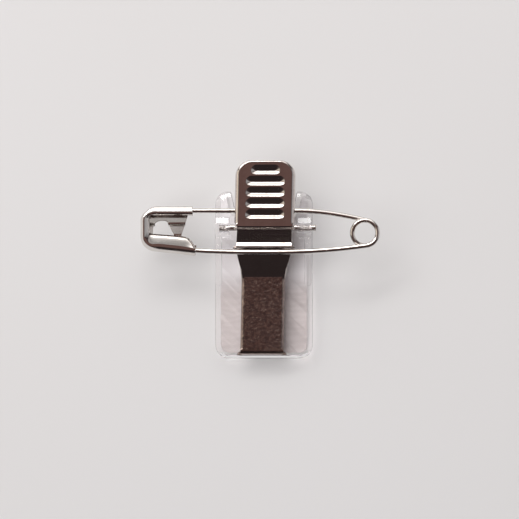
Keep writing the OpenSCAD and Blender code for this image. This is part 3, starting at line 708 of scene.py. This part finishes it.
# Below the tab the strip has an ear on each side, bent down, with a hole for the axle and a hole for the
# safety pin's fixed arm. Both sit in their holes with a small gap.
WIRE_R, SPINE_Y, SPINE_Z = 0.39, 10.18, 6.0
AXLE_GAP, WIRE_GAP = 0.05, 0.06
EAR_X, EAR_TOP = 4.35, TAB_TOP - 0.4
ear_side = [(5.98, 3.1), (8.7, 3.1), (11.25, 5.0), (11.2, EAR_TOP), (7.8, EAR_TOP), (7.5, 6.3), (5.4, 5.25)]
ears, holes = [], []
for ear_name, x0 in (("lever_ears", LEVER_X - EAR_X), ("ear_right", LEVER_X + EAR_X - SHEET)):
    points, faces = moulded(ear_side, [1.4, 1.3, 0.95, 0.1, 0.1, 0.1, 0.1], x0, x0 + SHEET, 0.08, 0.08,
                            axes=(2, 0, 1))
    ears.append(mesh_object(ear_name, points * MM, faces, lever_nickel))
for y, z, r in ((HINGE_Y, AXLE_Z, AXLE_R + AXLE_GAP), (SPINE_Y, SPINE_Z, WIRE_R + WIRE_GAP)):
    ring = np.column_stack([y + r * np.cos(around), z + r * np.sin(around)])
    points, faces = ringed_solid([np.column_stack([np.full(len(around), x), ring]) for x in (-6.0, 6.0)])
    holes.append(mesh_object("hole", points * MM, faces, lever_nickel))
lever_ears = ears[0]
joined(lever_ears, ears[1:], holes)
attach(lever_ears, "lever")


# Safety pin wire
# One length of nickel-plated 0.78 mm steel wire: the fixed arm through the lever's ears, one and a half
# turns of coil at the right, and the needle that springs out of the cap. It is made as two pieces, which
# overlap a little in the coil, because the needle swings about it.
COIL_X, COIL_Y, COIL_R, COIL_PITCH = 15.95, 6.65, 2.0, 0.86
ENTER, LEAVE = math.radians(14), math.radians(8.5)
COIL_SWEEP = 3 * np.pi - ENTER - LEAVE
NEEDLE_ARC, OVERLAP = math.radians(50), math.radians(5)  # the needle's part of the coil, and the shared part
SPINE_LEFT, BEND_X = -16.96, 5.7
NEEDLE_LOW, NEEDLE_LIFT = (0.2, 3.63), 0.6
NEEDLE_BOW, BOW_REACH = 0.25, 11
NEEDLE_TIP, POINT_X, POINT_R = -18.2, -14.6, 0.04


def coil(turned):
    """Points of the coil after these angles from the fixed arm: a circle that rises evenly."""
    angle = ENTER + turned
    return np.column_stack([COIL_X + COIL_R * np.sin(angle), COIL_Y + COIL_R * np.cos(angle),
                            SPINE_Z + COIL_PITCH * turned / (2 * np.pi)])


# From the straight stretch to the coil the arm bends as a power of the way, whose slope meets the coil's.
coil_start, coil_end = coil(np.array([0.0, COIL_SWEEP]))
t = np.linspace(0, 1, 60)[:-1, None]
power = math.tan(ENTER) * (coil_start[0] - BEND_X) / (SPINE_Y - coil_start[1])
arm = np.hstack([BEND_X + (coil_start[0] - BEND_X) * t, SPINE_Y + (coil_start[1] - SPINE_Y) * t ** power,
                 SPINE_Z + 0 * t])
straight = np.column_stack([np.linspace(SPINE_LEFT, BEND_X, 12)[:-1], np.full(11, SPINE_Y),
                            np.full(11, SPINE_Z)])
spine_path = np.vstack([straight, arm, coil(np.linspace(0, COIL_SWEEP - NEEDLE_ARC + OVERLAP, 170))])
pin_nickel = nickel("pin_nickel")[0]
# The fixed arm is a hair thinner than the needle, so that their faces don't coincide where they overlap.
points, faces = tube(spine_path, WIRE_R - 0.003, (0, 0, 1), sides=28)
spine = welded(mesh_object("fixed_arm", points * MM, faces, pin_nickel))
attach(spine, "pin")
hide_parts("pin_spine")

# Seen from above, the needle bends down to NEEDLE_LOW as the same kind of power, and then bows gently up to
# its point.
power = math.tan(LEAVE) * (coil_end[0] - NEEDLE_LOW[0]) / (coil_end[1] - NEEDLE_LOW[1])
t = np.linspace(1, 0, 60)[1:-1, None]
to_coil = np.hstack([NEEDLE_LOW[0] + (coil_end[0] - NEEDLE_LOW[0]) * t,
                     NEEDLE_LOW[1] + (coil_end[1] - NEEDLE_LOW[1]) * t ** power,
                     SPINE_Z + NEEDLE_LIFT + (coil_end[2] - SPINE_Z - NEEDLE_LIFT) * t])
t = np.linspace(0, 1, 90)[:, None]
x = NEEDLE_LOW[0] + (NEEDLE_TIP - NEEDLE_LOW[0]) * t
to_point = np.hstack([x, NEEDLE_LOW[1] + NEEDLE_BOW * ((NEEDLE_LOW[0] - x) / BOW_REACH) ** 2.6,
                      SPINE_Z + NEEDLE_LIFT * (1 - t) ** 1.8])
needle_path = np.vstack([coil(np.linspace(COIL_SWEEP - NEEDLE_ARC, COIL_SWEEP, 24)), to_coil, to_point])
radii = np.interp(needle_path[:, 0], [NEEDLE_TIP, POINT_X], [POINT_R, WIRE_R])
points, faces = tube(needle_path, radii, (0, 0, 1), sides=28)
needle = welded(mesh_object("needle", points * MM, faces, pin_nickel))
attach(needle, "needle")
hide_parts("pin_needle")


# Safety pin cap
# Thin nickel-plated sheet folded into a cap: a round sleeve crimped on the fixed arm, a band round the
# left end, and a domed guard that the needle's point springs out of. The back is open at a dome-shaped
# window and cut off at a slant beside its web.
CAP_LEFT, CAP_MOUTH, CAP_MOUTH_Y, CAP_R, CAP_SHEET = -19.56, -10.9, 3.02, 2.4, 0.3
CAP_TOP = SPINE_Y + 0.72
CAP_SLANT = math.tan(math.radians(6.25))
SLEEVE_RIGHT, SLEEVE_LOW = -11.3, 9.6
HEM_X, HEM_LEFT, HEM_RIGHT = -17.2, 6.5, 6.15
BAND_INNER, BAND_TOP_X = -18.16, -16.6
SHOULDER = 1.2
NARROWING, ROLLING = (62, 100), (135, 172)


def resampled(line, count):
    """The same line with this many points, evenly spaced along it."""
    reach = np.append(0, np.cumsum(np.linalg.norm(np.diff(line, axis=0), axis=1)))
    at = np.linspace(0, reach[-1], count)
    return np.column_stack([np.interp(at, reach, line[:, i]) for i in range(line.shape[1])])


def resampled_in_turn(lines, counts):
    """One line from several that follow each other, each with its own count of evenly spaced points."""
    parts = [resampled(line, count) for line, count in zip(lines, counts)]
    return np.vstack([parts[0]] + [part[1:] for part in parts[1:]])


def smoothed(controls, rounds=3):
    """Smooth lines from rows of control points: each round cuts every edge at a quarter and at three
    quarters and drops the corners, but keeps the two ends."""
    for _ in range(rounds):
        a, b = controls[..., :-1, :], controls[..., 1:, :]
        cut = np.stack([0.75 * a + 0.25 * b, 0.25 * a + 0.75 * b], -2)
        cut = cut.reshape(*controls.shape[:-2], -1, controls.shape[-1])
        controls = np.concatenate([controls[..., :1, :], cut, controls[..., -1:, :]], axis=-2)
    return controls


# The outline from above runs from the mouth along the low edge, round the left end and along the sleeve.
# The front sheet's inner edge is matched to it in three stretches: guard, corner with band, and sleeve.
# The guard's inner edge is its hem, a smooth line guided by given points from the mouth to the band.
low_corner = (CAP_LEFT, CAP_MOUTH_Y + (CAP_MOUTH - CAP_LEFT) * CAP_SLANT)
rim = open_line([(CAP_MOUTH, CAP_MOUTH_Y), low_corner, (CAP_LEFT, CAP_TOP), (SLEEVE_RIGHT, CAP_TOP)],
                [CAP_R, CAP_R], steps=36)
rim_path = resampled_in_turn([rim[:2], rim[1:-1], rim[-2:]], (70, 100, 50))
hem = np.array([(CAP_MOUTH - 0.02, 4.1), (-11.0, 4.6), (-11.35, 5.3), (-11.9, 5.85), (-12.7, HEM_RIGHT),
                (HEM_X, HEM_LEFT)])
inner_end = open_line([(HEM_X, HEM_LEFT), (BAND_INNER, HEM_LEFT), (BAND_INNER, SLEEVE_LOW),
                       (BAND_TOP_X, SLEEVE_LOW)], [0.55, 0.6])
inner_sleeve = np.array([(BAND_TOP_X, SLEEVE_LOW), (SLEEVE_RIGHT, SLEEVE_LOW)])
inner_path = resampled_in_turn([smoothed(hem[None], 2)[0], inner_end, inner_sleeve], (70, 100, 50))
rim_run = unit(np.gradient(rim_path, axis=0))
rim_in = np.column_stack([rim_run[:, 1], -rim_run[:, 0]])
row_number = np.arange(len(rim_path))


def cap_line(plan, z):
    """The cap's line through these places from above, all of it z above the wire's middle."""
    return np.column_stack([plan, np.full(len(plan), SPINE_Z + z)])


# Each row of the shell starts under the cap, folds up round the rim to the shoulder and falls over the
# crown to the inner edge. The fold's pairs are a way in from the rim, which shrinks to a half over the
# NARROWING rows, and a height over the wire's middle. The crown's are a share of the way from shoulder to
# inner edge, and a height.
fold = [(1.7, -0.9), (0.3, -0.9), (0.02, -0.86), (0.0, -0.5), (0.0, 0.15), (0.33, 0.62), (0.76, 1.07),
        (0.87, 1.12), (SHOULDER, 1.12)]
crown = [(0.12, 1.09), (0.36, 1.0), (0.61, 0.9), (0.81, 0.79), (1.0, 0.47)]
narrow = np.interp(row_number, NARROWING, [1.0, 0.5])[:, None]
shoulder = rim_path + SHOULDER * narrow * rim_in
shell = np.stack([cap_line(rim_path + a * narrow * rim_in, z) for a, z in fold]
                 + [cap_line(shoulder + a * (inner_path - shoulder), z) for a, z in crown], axis=1)

# The sleeve's pairs go round the wire in the same way. The shell turns into it over the ROLLING rows.
round_wire = [(1.47, -0.35), (1.36, -0.6), (1.14, -0.76), (0.84, -0.82), (0.52, -0.76), (0.27, -0.6),
              (0.08, -0.32), (0.0, 0.0), (0.03, 0.3), (0.14, 0.5), (0.7, 0.8), (0.98, 0.86), (1.22, 0.78),
              (1.42, 0.5)]
sleeve = np.stack([cap_line(rim_path + a * rim_in, z) for a, z in round_wire], axis=1)
share = step_up(row_number, *ROLLING)[:, None, None]
grid = smoothed((1 - share) * shell + share * sleeve)

cap_nickel = nickel("cap_nickel", Colour=(0.78, 0.75, 0.72, 1), Smudge_Roughness=0.16)[0]
cap = welded(mesh_object("cap", grid.reshape(-1, 3) * MM, quads(*grid.shape[:2]), cap_nickel))
wall = cap.modifiers.new("sheet", "SOLIDIFY")
wall.thickness, wall.offset = CAP_SHEET * MM, -1
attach(cap, "pin")
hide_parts("pin_cap")

# The back sheet is a strip bent round the window: from the window's edge out to the band, the sleeve
# and the slanted edge of the web. It dips from the sleeve to the back at a crease.
BACK_FOOT, BACK_DROP = 5.3, 0.87
CREASE_Y = [BACK_FOOT, 6.1, 6.35, 7.95, 8.1, 9.75]
CREASE_RISE = [0.0, 0.12, 0.12, -0.16, 0.36, 0.0]
window_edge = open_line([(-17.6, BACK_FOOT), (-17.6, 8.56), (-15.4, 8.56), (-13.8, BACK_FOOT)],
                        [1.35, 0.7], steps=30)
back_edge = open_line([(-18.9, BACK_FOOT), (-18.9, 9.9), (-11.9, 9.9), (-13.4, BACK_FOOT)], [0.8, 0.15])
inner, outer = (resampled_in_turn([line[:2], line[1:-1], line[-2:]], (20, 110, 30))
                for line in (window_edge, back_edge))
q = np.linspace(0, 1, 36)[:, None]
plan = inner[:, None] + (outer - inner)[:, None] * q
height = SPINE_Z - BACK_DROP + np.interp(plan[..., 1], CREASE_Y, CREASE_RISE)
grid = np.concatenate([plan, height[..., None]], axis=-1)
cap_back = welded(mesh_object("cap_back", grid.reshape(-1, 3) * MM, quads(*grid.shape[:2]), cap_nickel))
wall = cap_back.modifiers.new("sheet", "SOLIDIFY")
wall.thickness, wall.offset = CAP_SHEET * MM, 1
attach(cap_back, "pin")
